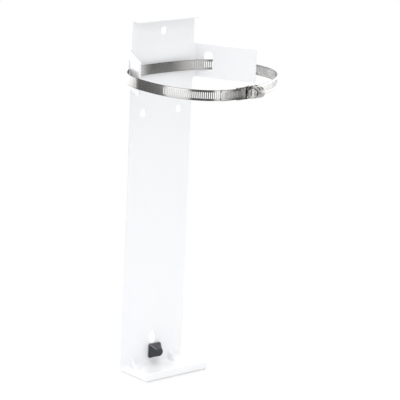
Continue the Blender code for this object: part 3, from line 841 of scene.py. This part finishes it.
start()
bpy.ops.mesh.primitive_plane_add(size=STOP_SIDE, location=(STOP_X, STOP_BACK, STOP_Z),
                                 rotation=TO_THE_WALL)
stop = settled(bpy.context.object)
edit(stop)
bpy.ops.mesh.delete(type="ONLY_FACE")
pick("EDGE", lambda edge: True)
bpy.ops.mesh.subdivide(number_cuts=7)
pick("EDGE", lambda edge: True)
bpy.ops.mesh.extrude_region_move(
    TRANSFORM_OT_translate={"value": (0.0, STOP_SQUARE - STOP_BACK, 0.0)})
bpy.ops.mesh.primitive_circle_add(vertices=32, radius=NOSE_RADIUS, rotation=TO_THE_WALL,
                                  location=(STOP_X, STOP_TAPER, STOP_Z))
pick("EDGE", whole_edge(lambda y: y < STOP_SQUARE + NEAR))
bpy.ops.mesh.bridge_edge_loops(type="SINGLE", number_cuts=5, interpolation="LINEAR")
print("taper runs", round(1000 * (STOP_SQUARE - STOP_TAPER), 1), "mm forwards")

# %% [markdown]
# The nose is grown from the circle in six steps along a quarter of a round, each extruded and
# then scaled down. It ends in a small flat, and a bevel gives the creases a moulded edge.

# %% Nose of the stop and whole stop
NOSE_STEPS, STEPS_TO_TIP = 6, 6.4
NOSE_FLAT, NOSE_DOME = 0.45, 0.55
TIP_FLAT = 0.40

pick("EDGE", whole_edge(lambda y: y < STOP_TAPER + NEAR))
place, radius = STOP_TAPER, NOSE_RADIUS
for k in range(1, NOSE_STEPS + 1):
    angle = math.pi / 2 * k / STEPS_TO_TIP
    new_place = STOP_TAPER + (NOSE_END - STOP_TAPER) * math.sin(angle)
    share = NOSE_FLAT + NOSE_DOME * math.cos(angle) if k < NOSE_STEPS else TIP_FLAT
    factor = NOSE_RADIUS * share / radius
    bpy.ops.mesh.extrude_region_move(
        TRANSFORM_OT_translate={"value": (0.0, new_place - place, 0.0)})
    bpy.ops.transform.resize(value=(factor, 1.0, factor),
                             center_override=(STOP_X, new_place, STOP_Z))
    place, radius = new_place, NOSE_RADIUS * share
bpy.ops.mesh.edge_face_add()
pick("EDGE", whole_edge(lambda y: y > STOP_BACK - NEAR))
bpy.ops.mesh.edge_face_add()
cleaned(stop)
edges_eased(stop, width=0.00035, angle=28, segments=3)
hand_over(stop, "rubber_stop_moulded", "rubber_stop", "frame", rubber)

# %% [markdown]
# The picture is a plain studio shot on white. The floor is a white disc that ends before the
# strap could mirror it. Camera rays see it as bright as the white around it, but near the foot
# the glow fades, and the soft shadow shows.

# %% Floor
FLOOR_RADIUS = 1.2
FLOOR_MIDDLE = (0.0, -0.05, cad_low.z - 0.0002)
PLAIN_WHITE = (1.0, 1.0, 1.0, 1.0)

start()
bpy.ops.mesh.primitive_circle_add(vertices=96, radius=FLOOR_RADIUS, fill_type="NGON",
                                  location=FLOOR_MIDDLE)
floor = settled(bpy.context.object)
floor.name = "studio_floor"

floor_finish, finish = new_finish("studio_floor_white")
matt = finish.add("ShaderNodeBsdfDiffuse", None, {"Color": (0.90, 0.90, 0.90, 1.0)})
glow = finish.add("ShaderNodeEmission", None, {"Color": PLAIN_WHITE, "Strength": 1.0})
seen = finish.add("ShaderNodeLightPath")["Is Camera Ray"]
away = finish.add("ShaderNodeVectorMath", {"operation": "DISTANCE"},
                  {0: finish.add("ShaderNodeTexCoord")["Object"], 1: FLOOR_MIDDLE})["Value"]
glowing = 0.70 + 0.30 * slope(finish, away, 0.072, 0.336)
mixed = finish.add("ShaderNodeMixShader", None,
                   {0: seen * glowing, 1: matt["BSDF"], 2: glow["Emission"]})
finish.add("ShaderNodeOutputMaterial", None, {"Surface": mixed["Shader"]})
floor.data.materials.append(floor_finish)
print("floor at", round(FLOOR_MIDDLE[2], 4), "m")

# %% [markdown]
# Metal only looks like metal when it has something to mirror. The strap in the photograph shows
# bright panels with dark gaps between them, so mirrored rays see a ring of such panels, brighter
# higher up, while the camera sees plain white.

# %% What metal mirrors
RING = ((0.000, 1.08), (0.026, 0.95), (0.046, 0.12), (0.186, 0.11), (0.212, 1.12), (0.308, 1.22),
        (0.326, 0.26), (0.345, 0.19), (0.418, 0.125), (0.428, 1.00), (0.437, 1.15),
        (0.441, 0.40), (0.446, 1.20), (0.640, 1.60), (0.800, 1.62), (0.838, 1.40),
        (0.853, 0.13), (0.898, 0.15), (0.922, 0.85), (0.952, 1.15), (1.000, 1.08))
CEILING = (0.88, 0.88, 0.88, 1.0)

world = bpy.data.worlds.new("white_studio")
bpy.context.scene.world = world
finish = Finish(world)
parts = axes(finish, finish.add("ShaderNodeTexCoord")["Generated"])
azimuth = angle_of(finish, parts["X"], parts["Y"])
panels = finish.add("ShaderNodeValToRGB", {"stops": RING}, {"Fac": azimuth / math.tau + 0.5})
overhead = slope(finish, parts["Z"], 0.15, 0.55)
mirrored = blended(finish, overhead, panels["Color"], CEILING)
taller = clamped(finish, 2.10 + 5.6 * parts["Z"], low=0.7, high=1.35)
ring = finish.add("ShaderNodeBackground", None, {"Color": mirrored, "Strength": taller})
print("ring of", len(RING), "stops")

# %% [markdown]
# Matt surfaces get an even white light that is a little stronger from above and from the wall's
# side, so the folds stay readable. Light Path tells the three kinds of ray apart.

# %% Surroundings
level = 0.810 - 0.05 * parts["X"] + 0.12 * parts["Y"] + 0.46 * parts["Z"]
plain = finish.add("ShaderNodeBackground", None,
                   {"Color": (0.985, 0.99, 1.0, 1.0), "Strength": level})
white = finish.add("ShaderNodeBackground", None, {"Color": PLAIN_WHITE, "Strength": 1.0})
path = finish.add("ShaderNodeLightPath")
around = finish.add("ShaderNodeMixShader", None,
                    {0: path["Is Glossy Ray"], 1: plain[0], 2: ring[0]})
seen = finish.add("ShaderNodeMixShader", None,
                  {0: path["Is Camera Ray"], 1: around[0], 2: white[0]})
finish.add("ShaderNodeOutputWorld", None, {"Surface": seen[0]})
print("surroundings use", len(finish.tree.nodes), "nodes")

# %% [markdown]
# Two large soft lamps, one from the front left and one high in front, model the folds and the
# foot without a hard shadow. Mirrored rays don't see them, because the ring is there for that.

# %% Lamps
def soft_lamp(name, place, target, size, power):
    lamp = bpy.data.lights.new(name, "AREA")
    lamp.shape = "SQUARE"
    lamp.size = size
    lamp.energy = power
    item = bpy.data.objects.new(name, lamp)
    bpy.context.scene.collection.objects.link(item)
    aim = Vector(target) - Vector(place)
    turned = aim.to_track_quat("-Z", "Y").to_matrix().to_4x4()
    item.matrix_world = Matrix.Translation(place) @ turned
    item.visible_glossy = False
    print(name, "stands", round(aim.length, 2), "m from its target")


soft_lamp("key_lamp", (-1.2, -1.9, 1.5), (0.0, -0.05, -0.08), size=1.4, power=3.5)
soft_lamp("top_lamp", (-0.3, -1.5, 2.1), (0.0, -0.05, -0.30), size=1.6, power=7.0)
